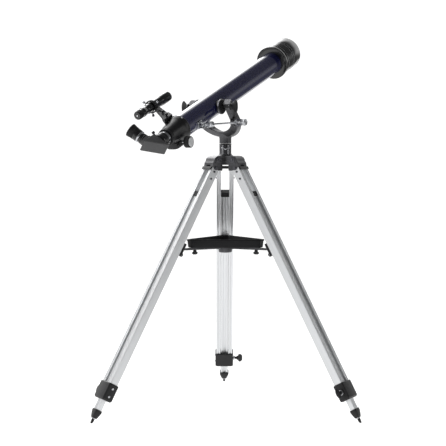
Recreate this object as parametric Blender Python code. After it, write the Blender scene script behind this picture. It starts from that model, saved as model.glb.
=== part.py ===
"""Refractor telescope on a yoke mount and a three-legged field tripod.

Lengths in the constants are millimetres; finish() turns them into metres.
The leg at +Y points away from the viewer, the floor is z = 0.
"""
import math

import bpy
from mathutils import Matrix, Vector

MM = 0.001
GAP = 0.3                 # running clearance between neighbouring pieces

# overall placement: the bounding box is centred on the frame origin
AXIS_X = 0.0
AXIS_Y = -35.87

# tripod
FOOT_R = 423.0            # foot circle radius
LEG_TOP_R = 45.0          # radial place of the leg line at LEG_TOP_Z
LEG_TOP_Z = 690.0
LEG_ANGLES = (90.0, 210.0, 330.0)
LEG_NAMES = ("far", "left", "right")
LEG_W = 50.0              # width over both rails
RAIL_W = 13.0
RAIL_D = 24.0
RAIL_GROOVE = 1.2
SLIDE_W = 23.0            # inner sliding leg
SLIDE_D = 14.0
SLIDE_S0 = 40.3
SLIDE_S1 = 708.0
CLAMP_S0 = 70.0
CLAMP_S1 = 119.0
RAIL_S1 = 784.6           # rails butt against the hub cheeks
LEG_CAP_S0 = 776.0
HUB_TOP = 725.0
HUB_HALF = 26.0
HUB_WEB_Z = 699.0         # underside of the hub between its cheeks
CHEEK_IN = 10.0
CHEEK_Z = 682.7           # underside of the cheeks, at the rail ends
CHEEK_ROOT = 24.0
LOBE_R = 55.0
PILLAR_R = 17.0
SEAM_Z = 760.0
SPINDLE_R = 8.6
SPINDLE_Z0 = 734.0
AZ_LOCK_Z = 747.0

# spreader and tray
TRAY_Z0 = 466.3
TRAY_Z1 = 490.0
TRAY_CORNER_R = 120.0
TRAY_CORNER_HALF = 14.0
TRAY_WALL = 2.5
ARM_Z0 = 459.7
ARM_Z1 = 466.0
ARM_HALF = 7.0
ARM_END_R = 144.0
BOSS_R = 20.0             # centre boss of the spreader
BOSS_DROP = 11.0
NUT_R = 100.0
CLIP_S = 537.0            # brace clip, along the leg
CLIP_DEPTH = 8.0
CLIP_LEN = 38.0

# mount head
AZIMUTH = 30.0            # tube heading right of +Y at rest
ALTITUDE = 20.85          # tube elevation at rest
PIVOT_Z = 861.0
PIVOT_BACK = 90.0         # altitude axis sits behind the azimuth axis
YOKE_LEAN = 43.0
YOKE_DROP = 48.0          # arc centre below the pivot, along the leaning plane
YOKE_RI = 45.0
YOKE_RO = 66.5
YOKE_DEPTH_TOP = 22.0
YOKE_DEPTH_BASE = 36.0
BOLT_R = 4.0

# optical tube, distances along the tube from the altitude axis
TUBE_R = 32.5
TUBE_WALL = 1.6
TUBE_S0 = -172.0
TUBE_S1 = 414.0
CAP_S0 = 402.0
CAP_S1 = 510.0
CAP_R = 47.0
CAP_FLANGE_R = 50.5
HOUSING = ((22.5, -246.0), (23.5, -245.0), (23.5, -240.0), (25.5, -232.0), (29.5, -208.0),
           (34.0, -188.0), (36.0, -184.0))
HOUSING_R = 36.0
DRAW_R = 19.0
DRAW_WALL = 2.4
DRAW_S0 = -260.0          # front of the collar on the drawtube
DRAW_S1 = -120.0
COLLAR_R = 21.5
COLLAR_LEN = 24.0
DRAW_SCREW_S = -276.0
PINION_S = -207.0
PINION_U = -26.5
PINION_R = 6.6
PINION_HALF = 12.0
SHAFT_R = 2.6
SHAFT_HALF = 48.0
KNOB_R = 15.5
KNOB_IN = 34.0            # focus knob faces, out from the tube's middle plane
KNOB_OUT = 51.0
BOX_U = (-41.0, -38.0, -23.0)
BOX_SIZE = (36.0, 44.0)
DIAG_FACE_S = -285.0
DIAG_LEG = 50.0
DIAG_HALF = 17.0
DIAG_UP = 21.0
DIAG_TURN = 52.0          # eyepiece direction, left of up
EYE_S = -311.0
EYE_BARREL_R = 12.2
SOCKET_R = 15.0
NOSE_R = 16.2
FINDER_TURN = 60.0
FINDER_RHO = 106.0
FINDER_S0 = -222.0
FINDER_S1 = -58.0
FINDER_RING_S = -146.0
RING_RI = 14.9
RING_RO = 18.2
BRACKET_ROOT = (-13.0, -194.0, 32.5)

# slow-motion rod, in head coordinates (r, forward, z)
CLEVIS_R = 42.0
CLEVIS_S = -124.0
CLEVIS_U = -9.0
POST = (78.0, -62.0, 818.0)
FORK_HALF = 6.6           # half the window's width across the rod
FORK_WALL = 2.6
FORK_DEPTH = 9.0
FORK_LOW = -10.2          # window floor and roof, measured out from POST
FORK_HIGH = 7.5
FORK_TOP = 9.2
ROD_R = 2.4

SEG_BIG = 40
SEG_MID = 22
SEG_SMALL = 12


def clear_scene():
    for obj in list(bpy.data.objects):
        bpy.data.objects.remove(obj, do_unlink=True)


def axes(origin, x, y, z):
    """Matrix whose columns are the given local axes."""
    m = Matrix.Identity(4)
    for col, vec in enumerate((x, y, z, origin)):
        for row in range(3):
            m[row][col] = vec[row]
    return m


def leg_frame(angle):
    """Local x across the leg, y toward the tripod axis, z up along the leg from the tip."""
    a = math.radians(angle)
    rad = Vector((math.cos(a), math.sin(a), 0.0))
    tan = Vector((-math.sin(a), math.cos(a), 0.0))
    along = (rad * (LEG_TOP_R - FOOT_R) + Vector((0, 0, LEG_TOP_Z))).normalized()
    return axes(rad * FOOT_R, tan, along.cross(tan), along)


def radial_frame(angle, z=0.0):
    """Local x radial, y tangential, z up."""
    a = math.radians(angle)
    rad = Vector((math.cos(a), math.sin(a), 0.0))
    tan = Vector((-math.sin(a), math.cos(a), 0.0))
    return axes(Vector((0, 0, z)), rad, tan, Vector((0, 0, 1)))


def head_frame():
    """Local x to the right of the tube, y forward on the level, z up."""
    return Matrix.Rotation(-math.radians(AZIMUTH), 4, "Z")


def tube_frame():
    """Local x right, y forward along the tube, z up; origin on the altitude axis."""
    lift = Matrix.Translation((0, -PIVOT_BACK, PIVOT_Z))
    return head_frame() @ lift @ Matrix.Rotation(math.radians(ALTITUDE), 4, "X")


def bore_frame():
    """The tube frame turned so that local z runs forward along the tube."""
    return tube_frame() @ Matrix.Rotation(-math.pi / 2, 4, "X")


def across_frame(base, point, side=1):
    """Local z along base x (outward on the given side), origin at point."""
    turn = Matrix.Rotation(side * math.pi / 2, 4, "Y")
    return base @ Matrix.Translation(point) @ turn


def aim_frame(origin, direction, hint=(0, 0, 1)):
    """Local z along direction."""
    z = Vector(direction).normalized()
    x = Vector(hint).cross(z).normalized()
    return axes(Vector(origin), x, z.cross(x), z)


HEAD = head_frame()
TUBE = tube_frame()
BORE = bore_frame()


def circle(radius, z, seg, cx=0.0, cy=0.0):
    step = 2 * math.pi / seg
    out = []
    for i in range(seg):
        a = step * (i + 0.5)
        out.append(Vector((cx + radius * math.cos(a), cy + radius * math.sin(a), z)))
    return out


def oval(half_x, half_y, z, seg):
    return [Vector((p.x * half_x, p.y * half_y, z)) for p in circle(1.0, z, seg)]


def rounded(width, depth, corner, z, cx=0.0, cy=0.0):
    """Rounded rectangle with 16 points."""
    out = []
    hx = width / 2 - corner
    hy = depth / 2 - corner
    for i in range(16):
        a = 2 * math.pi * (i + 0.5) / 16
        sx = 1 if math.cos(a) > 0 else -1
        sy = 1 if math.sin(a) > 0 else -1
        quarter = (i % 4) / 3 * math.pi / 2
        start = (i // 4) * math.pi / 2
        px = sx * hx + corner * math.cos(start + quarter)
        py = sy * hy + corner * math.sin(start + quarter)
        out.append(Vector((cx + px, cy + py, z)))
    return out


def rect(width, depth, cut, z, cx=0.0, cy=0.0):
    """Rectangle with cut corners, 8 points."""
    hx = width / 2
    hy = depth / 2
    pts = ((hx, -hy + cut), (hx, hy - cut), (hx - cut, hy), (-hx + cut, hy),
           (-hx, hy - cut), (-hx, -hy + cut), (-hx + cut, -hy), (hx - cut, -hy))
    return [Vector((cx + x, cy + y, z)) for x, y in pts]


class Shape:
    """Collects vertices and faces in local millimetres."""

    def __init__(self):
        self.verts = []
        self.faces = []

    def add(self, pts):
        start = len(self.verts)
        self.verts.extend(Vector(p) for p in pts)
        return list(range(start, start + len(pts)))

    def loft(self, sections, ring=False):
        """Skin a stack of equal-length loops; ring joins the last to the first."""
        loops = [self.add(sec) for sec in sections]
        pairs = list(zip(loops, loops[1:]))
        if ring:
            pairs.append((loops[-1], loops[0]))
        else:
            self.faces.append(list(reversed(loops[0])))
            self.faces.append(list(loops[-1]))
        for low, high in pairs:
            count = len(low)
            for i in range(count):
                j = (i + 1) % count
                self.faces.append([low[i], low[j], high[j], high[i]])
        return self

    def lathe(self, profile, seg, ring=False):
        """Turn (radius, height) pairs about local z; ring closes the profile on itself."""
        return self.loft([circle(r, z, seg) for r, z in profile], ring)

    def block(self, size, centre, cut=0.0):
        """Box with softened ends along z."""
        w, d, h = size
        x, y, z = centre
        c = cut
        if c <= 0:
            pts = [rect4(w, d, z - h / 2, x, y), rect4(w, d, z + h / 2, x, y)]
        else:
            pts = [rect(w - 2 * c, d - 2 * c, c, z - h / 2, x, y),
                   rect(w, d, 1.6 * c, z - h / 2 + c, x, y),
                   rect(w, d, 1.6 * c, z + h / 2 - c, x, y),
                   rect(w - 2 * c, d - 2 * c, c, z + h / 2, x, y)]
        return self.loft(pts)


def rect4(width, depth, z, cx=0.0, cy=0.0):
    hx = width / 2
    hy = depth / 2
    return [Vector((cx + x, cy + y, z)) for x, y in ((hx, -hy), (hx, hy), (-hx, hy), (-hx, -hy))]


def material(name, colour, metallic, rough):
    mat = bpy.data.materials.new(name)
    mat.use_nodes = True
    bsdf = mat.node_tree.nodes["Principled BSDF"]
    bsdf.inputs["Base Color"].default_value = (*colour, 1.0)
    bsdf.inputs["Metallic"].default_value = metallic
    bsdf.inputs["Roughness"].default_value = rough
    return mat


LOOKS = {
    "aluminium": ((0.78, 0.79, 0.80), 1.0, 0.32),
    "chrome": ((0.80, 0.80, 0.82), 1.0, 0.12),
    "black": ((0.02, 0.02, 0.022), 0.0, 0.45),
    "gloss_black": ((0.012, 0.012, 0.014), 0.0, 0.15),
    "casting": ((0.07, 0.07, 0.075), 0.3, 0.55),
    "navy": ((0.012, 0.014, 0.06), 0.1, 0.18),
    "glass": ((0.75, 0.85, 0.82), 0.0, 0.03),
    "rubber": ((0.018, 0.018, 0.018), 0.0, 0.85),
}


def finish(name, shape, frame, look, origin=(0, 0, 0)):
    """Turn a local shape into a placed object whose origin is a local point."""
    shift = Vector((AXIS_X, AXIS_Y, 0.0))
    pivot = frame @ Vector(origin)
    mesh = bpy.data.meshes.new(name)
    pts = [(frame @ v - pivot) * MM for v in shape.verts]
    mesh.from_pydata(pts, [], shape.faces)
    mesh.update()
    if signed_volume(mesh) < 0:
        mesh.flip_normals()
    obj = bpy.data.objects.new(name, mesh)
    obj.location = (pivot + shift) * MM
    bpy.context.scene.collection.objects.link(obj)
    if look:
        mesh.materials.append(material(name + "_finish", *LOOKS[look]))
    return obj


def signed_volume(mesh):
    total = 0.0
    for poly in mesh.polygons:
        ids = poly.vertices
        a = mesh.vertices[ids[0]].co
        for i in range(1, len(ids) - 1):
            b = mesh.vertices[ids[i]].co
            c = mesh.vertices[ids[i + 1]].co
            total += a.dot(b.cross(c))
    return total


def combine(target, operation, name, shape, frame):
    """Boolean a hidden helper into the target."""
    helper = finish(name, shape, frame, None)
    helper.hide_render = True
    helper.display_type = "WIRE"
    mod = target.modifiers.new(name, "BOOLEAN")
    mod.operation = operation
    mod.solver = "EXACT"
    mod.object = helper
    return target


def wing(stem_r, stem_len, collar_r, half_w, half_t, reach):
    """Wing screw along +z: stem, round collar, flat oval wing."""
    seg = SEG_SMALL
    base = stem_len
    return Shape().loft([
        circle(stem_r, 0.0, seg),
        circle(stem_r, base - 4.0, seg),
        circle(collar_r, base - 3.8, seg),
        circle(collar_r, base, seg),
        oval(half_w * 0.62, half_t * 1.25, base + reach * 0.2, seg),
        oval(half_w, half_t, base + reach * 0.55, seg),
        oval(half_w * 0.92, half_t * 0.9, base + reach * 0.82, seg),
        oval(half_w * 0.6, half_t * 0.6, base + reach, seg),
    ])


# ---------------------------------------------------------------- tripod

def foot(name, frame):
    """Tapered leg end with a spike whose tip is ground flat on the floor."""
    tilt = frame.inverted()
    tip = []
    for p in circle(3.0, 0.0, 16):
        tip.append(tilt @ (frame.translation + Vector((p.x, p.y, 0.0))))
    ordered = sorted(tip, key=lambda v: math.atan2(v.y, v.x) % (2 * math.pi))
    sections = [
        ordered,
        circle(4.2, 6.0, 16),
        circle(4.2, 15.0, 16),
        rounded(16.0, 13.0, 4.0, 15.4),
        rounded(19.0, 16.0, 4.0, 20.0),
        rounded(28.0, 20.0, 4.0, 33.0),
        rounded(28.0, 20.0, 4.0, SLIDE_S0 - GAP),
    ]
    return finish(name, Shape().loft(sections), frame, "black")


def sliding_leg(name, frame):
    """Inner leg: flat bar with a shallow face groove and a wider top stop."""
    def section(w, d, groove, z):
        hx = w / 2
        hy = d / 2
        pts = ((hx, -hy), (hx, hy), (4.5, hy), (3.5, hy - groove), (-3.5, hy - groove),
               (-4.5, hy), (-hx, hy), (-hx, -hy), (-4.5, -hy), (-3.5, -hy + groove),
               (3.5, -hy + groove), (4.5, -hy))
        return [Vector((x, y, z)) for x, y in pts]
    sections = [
        section(SLIDE_W, SLIDE_D, 1.4, SLIDE_S0),
        section(SLIDE_W, SLIDE_D, 1.4, SLIDE_S1 - 14.0),
        section(SLIDE_W, SLIDE_D + 4.0, 1.0, SLIDE_S1 - 13.6),
        section(SLIDE_W, SLIDE_D + 4.0, 1.0, SLIDE_S1 - 1.0),
        section(SLIDE_W - 2.0, SLIDE_D + 2.0, 1.0, SLIDE_S1),
    ]
    return finish(name, Shape().loft(sections), frame, "aluminium")


def rail(name, frame, side):
    """Outer rail: hollow-edged extrusion with one groove on each broad face."""
    mid = side * (LEG_W - RAIL_W) / 2
    hx = RAIL_W / 2
    hy = RAIL_D / 2
    g = RAIL_GROOVE
    pts = ((hx, -hy + 1), (hx, hy - 1), (hx - 1, hy), (1.2, hy), (0.6, hy - g), (-0.6, hy - g),
           (-1.2, hy), (-hx + 1, hy), (-hx, hy - 1), (-hx, -hy + 1), (-hx + 1, -hy), (-1.2, -hy),
           (-0.6, -hy + g), (0.6, -hy + g), (1.2, -hy), (hx - 1, -hy))
    ends = []
    for z in (CLAMP_S1 + GAP, RAIL_S1):
        ends.append([Vector((mid + x, y, z)) for x, y in pts])
    return finish(name, Shape().loft(ends), frame, "aluminium")


def leg_clamp(name, frame):
    """Sleeve at the foot of the rails that the inner leg slides through."""
    hole_w = SLIDE_W + 2 * GAP
    hole_d = SLIDE_D + 2 * GAP
    out = ((LEG_W, 26.0, CLAMP_S0), (LEG_W + 6.0, 31.0, CLAMP_S0 + 4.0),
           (LEG_W + 6.0, 31.0, CLAMP_S1 - 2.0), (LEG_W + 4.0, 29.0, CLAMP_S1))
    sections = [rounded(w, d, 3.0, z) for w, d, z in out]
    sections.append(rounded(hole_w, hole_d, 0.6, CLAMP_S1))
    sections.append(rounded(hole_w, hole_d, 0.6, CLAMP_S0))
    return finish(name, Shape().loft(sections, ring=True), frame, "black")


def leg_lock(name, frame):
    """Oval wing bolt on the side of the clamp."""
    spot = (-(LEG_W / 2 + 3.0 + GAP), 0.0, (CLAMP_S0 + CLAMP_S1) / 2)
    side = across_frame(frame, spot, -1)
    return finish(name, wing(4.0, 15.0, 6.5, 15.5, 3.2, 14.0), side, "black")


def leg_cap(name, frame):
    """Cover strap that ties both rail tops together on the outer side of the leg."""
    block = Shape().block((LEG_W + 1.0, 3.4, RAIL_S1 - LEG_CAP_S0),
                          (0, -RAIL_D / 2 - 1.7 - GAP, (RAIL_S1 + LEG_CAP_S0) / 2), 0.8)
    return finish(name, block, frame, "black")


def hub():
    """Three-lobed head casting with the hollow pillar neck on top."""
    def outline(reach, half, z):
        pts = []
        inner = half / math.sin(math.radians(60.0))
        for angle in LEG_ANGLES:
            a = math.radians(angle)
            rad = Vector((math.cos(a), math.sin(a), 0.0))
            tan = Vector((-math.sin(a), math.cos(a), 0.0))
            for side in (-1, 1):
                pts.append(rad * reach + tan * side * (half - 3.0))
                pts.append(rad * (reach - 2.0) + tan * side * half)
                if side < 0:
                    pts[-1], pts[-2] = pts[-2], pts[-1]
            mid = math.radians(angle + 60.0)
            pts.append(Vector((math.cos(mid), math.sin(mid), 0.0)) * inner)
        return [Vector((p.x, p.y, z)) for p in pts]
    sections = [
        outline(LOBE_R, HUB_HALF, HUB_WEB_Z),
        outline(LOBE_R, HUB_HALF, HUB_WEB_Z + 3.0),
        outline(43.0, HUB_HALF, 722.0),
        outline(40.0, HUB_HALF - 2.0, HUB_TOP),
    ]
    obj = finish("tripod_hub", Shape().loft(sections), Matrix.Identity(4), "casting")
    side = ((CHEEK_ROOT, HUB_WEB_Z + 3.0), (LOBE_R - 0.1, HUB_WEB_Z + 3.0), (56.3, 694.4),
            (35.0, CHEEK_Z), (CHEEK_ROOT, CHEEK_Z))
    for angle, label in zip(LEG_ANGLES, LEG_NAMES):
        for sign in (-1, 1):
            walls = []
            for across in (CHEEK_IN, HUB_HALF - 0.2):
                walls.append([Vector((x, sign * across, z)) for x, z in side])
            cheek = Shape().loft(walls)
            combine(obj, "UNION", "cheek_%s_%d" % (label, sign + 1), cheek, radial_frame(angle))
    neck = Shape().lathe([(PILLAR_R + 3.0, HUB_TOP - 12.0), (PILLAR_R + 3.0, HUB_TOP + 2.0),
                          (PILLAR_R, HUB_TOP + 5.0), (PILLAR_R, SEAM_Z - GAP)], SEG_MID)
    combine(obj, "UNION", "neck_form", neck, Matrix.Identity(4))
    bore = Shape().lathe([(SPINDLE_R + GAP, SPINDLE_Z0 - 2.0), (SPINDLE_R + GAP, SEAM_Z + 5.0)],
                         SEG_MID)
    combine(obj, "DIFFERENCE", "spindle_bore", bore, Matrix.Identity(4))
    return obj


def azimuth_lock():
    frame = aim_frame((0, -PILLAR_R - GAP, AZ_LOCK_Z), (0, -1, 0))
    return finish("azimuth_lock", wing(3.0, 7.0, 5.0, 12.0, 2.4, 9.0), frame, "chrome")


def brace_clip(name, frame):
    """Hinge bracket on the inner face of a leg."""
    shape = Shape().block((LEG_W, CLIP_DEPTH, CLIP_LEN),
                          (0, RAIL_D / 2 + CLIP_DEPTH / 2 + GAP, CLIP_S), 1.2)
    return finish(name, shape, frame, "black")


def spider():
    """Spreader: centre boss with three arms that reach the leg clips."""
    top = ARM_Z1
    low = ARM_Z0
    boss = Shape().lathe([(BOSS_R - 4.0, low - BOSS_DROP), (BOSS_R - 1.0, low - BOSS_DROP + 2.0),
                          (BOSS_R, low - 0.4), (BOSS_R, top - 0.5), (BOSS_R - 2.0, top)], SEG_MID)
    obj = finish("brace_spider", boss, Matrix.Identity(4), "casting")
    for angle, label in zip(LEG_ANGLES, LEG_NAMES):
        arm = Shape().block((ARM_END_R - 6.0, 2 * ARM_HALF, top - low - 0.4),
                            ((ARM_END_R + 6.0) / 2, 0, (top + low) / 2 - 0.2))
        combine(obj, "UNION", "arm_form_" + label, arm, radial_frame(angle))
    return obj


def tray():
    """Triangular dish with cut corners, flat floor and an open well."""
    def outline(shrink, z):
        reach = TRAY_CORNER_R - shrink
        half = TRAY_CORNER_HALF - shrink * 0.27
        pts = []
        for angle in LEG_ANGLES:
            a = math.radians(angle)
            rad = Vector((math.cos(a), math.sin(a), 0.0))
            tan = Vector((-math.sin(a), math.cos(a), 0.0))
            for side, back in ((-1.0, 2.0), (-0.8, 0.0), (0.8, 0.0), (1.0, 2.0)):
                p = rad * (reach - back) + tan * (side * half)
                pts.append(Vector((p.x, p.y, z)))
        return pts
    wall = TRAY_WALL
    sections = [
        outline(6.0, TRAY_Z0), outline(4.0, TRAY_Z0 + 2.0), outline(2.0, TRAY_Z1 - 5.0),
        outline(0.0, TRAY_Z1 - 4.6), outline(0.0, TRAY_Z1 - 0.8), outline(0.8, TRAY_Z1),
        outline(wall + 2.2, TRAY_Z1), outline(wall + 3.0, TRAY_Z1 - 1.0),
        outline(wall + 5.0, TRAY_Z0 + 3.6), outline(wall + 6.5, TRAY_Z0 + 2.6),
    ]
    return finish("accessory_tray", Shape().loft(sections), Matrix.Identity(4), "black")


def tray_nut(name, angle):
    """Wing nut under a corner of the tray, clamping it to the spreader arm."""
    a = math.radians(angle)
    spot = (NUT_R * math.cos(a), NUT_R * math.sin(a), ARM_Z0 - GAP)
    frame = aim_frame(spot, (0, 0, -1), (math.sin(a), -math.cos(a), 0))
    return finish(name, wing(3.5, 5.0, 5.0, 9.5, 2.0, 8.0), frame, "black")


# ---------------------------------------------------------------- mount head

def yoke():
    """Leaning U casting; its depth grows toward the base, which carries the spindle."""
    lean = math.radians(YOKE_LEAN)
    up = Vector((0, -math.sin(lean), math.cos(lean)))
    fore = Vector((0, math.cos(lean), math.sin(lean)))
    level = Vector((0, 1, 0))
    pivot = Vector((0, -PIVOT_BACK, PIVOT_Z))
    path = []
    for rise in (9.0, 5.0, -8.0, -28.0):
        path.append((Vector((-1, 0, 0)), rise + YOKE_DROP, 0.0))
    steps = 12
    for i in range(steps + 1):
        a = math.pi + math.pi * i / steps
        path.append((Vector((math.cos(a), math.sin(a), 0)), 0.0, -math.sin(a)))
    for rise in (-28.0, -8.0, 5.0, 9.0):
        path.append((Vector((1, 0, 0)), rise + YOKE_DROP, 0.0))
    sections = []
    last = len(path) - 1
    for n, (out, rise, low) in enumerate(path):
        trim = 4.0 if n in (0, last) else 0.0
        depth = YOKE_DEPTH_TOP + (YOKE_DEPTH_BASE - YOKE_DEPTH_TOP) * low - trim
        fwd = (fore * (1 - low) + level * low).normalized()
        base = pivot - up * YOKE_DROP + up * rise
        plane = Vector((1, 0, 0)) * out.x + up * out.y
        corner = []
        for radius, back in ((YOKE_RI, 2), (YOKE_RI, depth - 2), (YOKE_RI + 2, depth),
                             (YOKE_RO - 3, depth), (YOKE_RO, depth - 3), (YOKE_RO, 3),
                             (YOKE_RO - 3, 0), (YOKE_RI + 2, 0)):
            corner.append(base + plane * radius + fwd * (back + trim / 2 * (back > 9)))
        sections.append(corner)
    obj = finish("yoke", Shape().loft(sections), HEAD, "casting", (0, 0, SEAM_Z))
    neck = Shape().lathe([(SPINDLE_R, SPINDLE_Z0), (SPINDLE_R, SEAM_Z + 0.1),
                          (PILLAR_R, SEAM_Z + 0.1), (PILLAR_R, 776.0), (PILLAR_R + 3, 786.0)],
                         SEG_MID)
    combine(obj, "UNION", "yoke_neck", neck, HEAD)
    ear = Shape().lathe([(12.0, 57.0), (12.0, YOKE_RO)], SEG_MID)
    combine(obj, "UNION", "post_ear", ear, across_frame(HEAD, (0, POST[1], POST[2]), 1))
    for side, label in ((1, "right"), (-1, "left")):
        hole = Shape().lathe([(BOLT_R + GAP, 30.0), (BOLT_R + GAP, 80.0)], SEG_SMALL)
        at = across_frame(HEAD, pivot, side)
        combine(obj, "DIFFERENCE", "bolt_hole_" + label, hole, at)
    return obj


def altitude_knob(name, side):
    """Clamp bolt through the yoke arm with an oval wing outside."""
    seg = SEG_SMALL
    shape = Shape().loft([
        circle(BOLT_R, YOKE_RI + 0.4, seg),
        circle(BOLT_R, YOKE_RO + GAP, seg),
        circle(9.0, YOKE_RO + GAP + 0.2, seg),
        circle(8.0, YOKE_RO + 6.0, seg),
        oval(9.0, 4.0, YOKE_RO + 8.0, seg),
        oval(18.0, 3.4, YOKE_RO + 15.0, seg),
        oval(17.0, 3.0, YOKE_RO + 20.0, seg),
        oval(10.0, 2.2, YOKE_RO + 23.0, seg),
    ])
    frame = across_frame(HEAD, (0, -PIVOT_BACK, PIVOT_Z), side)
    return finish(name, shape, frame, "black")


def pivot_disc(name, side):
    """Round boss between tube and yoke arm, hollowed to sit on the tube."""
    shape = Shape().lathe([(17.0, 25.0), (18.5, 34.0), (20.5, 36.0), (20.5, 41.0), (18.5, 43.0),
                           (9.0, 43.2), (9.0, YOKE_RI - GAP)], SEG_MID)
    frame = across_frame(TUBE, (0, 0, 0), side)
    obj = finish(name, shape, frame, "black")
    saddle = Shape().lathe([(TUBE_R + GAP, -40.0), (TUBE_R + GAP, 40.0)], SEG_BIG)
    combine(obj, "DIFFERENCE", "saddle_" + name, saddle, BORE)
    return obj


def clevis_point():
    return TUBE @ Vector((CLEVIS_R, CLEVIS_S, CLEVIS_U))


def rod_frame():
    """Local z from the clevis pin toward the post."""
    start = clevis_point()
    end = HEAD @ Vector(POST)
    return aim_frame(start, end - start)


def rod_clevis():
    """Two-pronged bracket on the tube side that holds the rod end."""
    frame = TUBE @ Matrix.Translation((0, CLEVIS_S, CLEVIS_U))
    base = Shape().block((9.0, 22.0, 20.0), (CLEVIS_R - 11.0, 4.0, 0.0), 0.0)
    obj = finish("rod_clevis", base, frame, "chrome")
    saddle = Shape().lathe([(TUBE_R + GAP, CLEVIS_S - 40.0), (TUBE_R + GAP, CLEVIS_S + 40.0)],
                           SEG_BIG)
    for side, label in ((1, "top"), (-1, "low")):
        prong = Shape().block((14.0, 9.0, 2.2), (CLEVIS_R - 1.0, 0.0, side * 7.2), 0.0)
        combine(obj, "UNION", "prong_" + label, prong, frame)
    combine(obj, "DIFFERENCE", "clevis_saddle", saddle, BORE)
    return obj


def slow_rod():
    """Chrome adjusting rod with its eye end and stop collars."""
    frame = rod_frame()
    length = (HEAD @ Vector(POST) - clevis_point()).length
    profile = [(2.0, -5.0), (3.6, -4.2), (3.6, 4.5), (3.0, 5.5), (3.0, 9.0), (4.8, 9.6),
               (4.8, 12.0), (3.0, 12.6), (3.0, 20.0), (ROD_R, 48.0), (ROD_R, length + 23.0),
               (1.8, length + 24.0)]
    return finish("slow_motion_rod", Shape().lathe(profile, SEG_SMALL), frame, "chrome")


def fine_nut():
    """Knurled sleeve nut running on the thick end of the rod."""
    frame = rod_frame()
    inner = 3.3
    profile = [(6.0, 22.0), (8.2, 24.0), (8.2, 40.0), (6.0, 42.0), (inner, 42.0), (inner, 22.0)]
    return finish("fine_adjust_nut", Shape().lathe(profile, SEG_MID, ring=True), frame, "chrome",
                  (0, 0, 30.0))


def rod_post():
    """Swivel post on the yoke arm with an open fork round the rod."""
    frame = across_frame(HEAD, POST, 1)
    root = YOKE_RO + GAP - POST[0]
    obj = finish("rod_post", Shape().lathe([(8.0, root), (8.0, FORK_LOW)], SEG_SMALL), frame, "chrome")
    foot_z = (root + FORK_LOW) / 2
    for side, label in ((1, "low"), (-1, "top")):
        prong = Shape().block((FORK_WALL, FORK_DEPTH, FORK_TOP - foot_z),
                              (side * (FORK_HALF + FORK_WALL / 2), 0.0, (FORK_TOP + foot_z) / 2))
        combine(obj, "UNION", "fork_" + label, prong, frame)
    bridge = Shape().block((2 * FORK_HALF + FORK_WALL, FORK_DEPTH - 0.2, FORK_TOP - FORK_HIGH - 0.1),
                           (0.0, 0.0, (FORK_TOP + FORK_HIGH - 0.1) / 2))
    combine(obj, "UNION", "fork_bridge", bridge, frame)
    return obj


def rod_lock():
    frame = across_frame(HEAD, POST, 1)
    shape = Shape().lathe([(3.0, 9.5), (3.0, 14.0), (8.5, 14.4), (9.5, 16.0), (9.5, 21.0),
                           (8.5, 22.5), (4.0, 23.0)], SEG_MID)
    return finish("rod_lock", shape, frame, "chrome")


# ---------------------------------------------------------------- optics

def main_tube():
    r = TUBE_R
    ri = r - TUBE_WALL
    profile = [(r, TUBE_S0), (r, TUBE_S1), (ri, TUBE_S1), (ri, TUBE_S0)]
    return finish("main_tube", Shape().lathe(profile, SEG_BIG, ring=True), BORE, "navy")


def dew_cap():
    """Flanged shade with turned rings and an open mouth."""
    c0 = CAP_S0
    c1 = CAP_S1
    cr = CAP_R
    out = [(CAP_FLANGE_R - 1.5, c0), (CAP_FLANGE_R, c0 + 1.5), (CAP_FLANGE_R, c0 + 8.0),
           (CAP_FLANGE_R - 2.5, c0 + 10.0), (cr, c0 + 12.0), (cr, c0 + 24.0), (cr - 1, c0 + 25.0),
           (cr - 1, c0 + 27.0), (cr, c0 + 28.0), (cr, c0 + 52.0), (cr - 1, c0 + 53.0),
           (cr - 1, c0 + 55.0), (cr, c0 + 56.0), (cr, c0 + 62.0), (cr - 1, c0 + 63.0),
           (cr - 1, c0 + 65.0), (cr, c0 + 66.0), (cr, c1 - 1.5), (cr - 1.5, c1), (cr - 3.5, c1),
           (cr - 4.5, c1 - 2.0), (cr - 4.5, c0 + 34.0), (38.3, c0 + 33.0), (38.3, TUBE_S1 + 1.0),
           (TUBE_R + GAP, TUBE_S1 + 1.0), (TUBE_R + GAP, c0)]
    return finish("dew_cap", Shape().lathe(out, SEG_BIG, ring=True), BORE, "gloss_black")


def lens_cell():
    s = TUBE_S1 + 1.3
    profile = [(38.0, s), (38.0, s + 19.0), (36.0, s + 20.0), (31.0, s + 20.0), (30.3, s + 18.0),
               (30.3, s + 5.0), (28.0, s + 4.0), (28.0, s)]
    return finish("lens_cell", Shape().lathe(profile, SEG_BIG, ring=True), BORE, "black")


def objective_lens():
    s = TUBE_S1 + 1.3 + 5.0
    profile = [(6.0, s + GAP), (20.0, s + GAP + 0.5), (30.0, s + 1.6), (30.0, s + 9.0),
               (22.0, s + 10.6), (12.0, s + 11.6), (4.0, s + 12.0)]
    return finish("objective_lens", Shape().lathe(profile, SEG_BIG), BORE, "glass")


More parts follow.
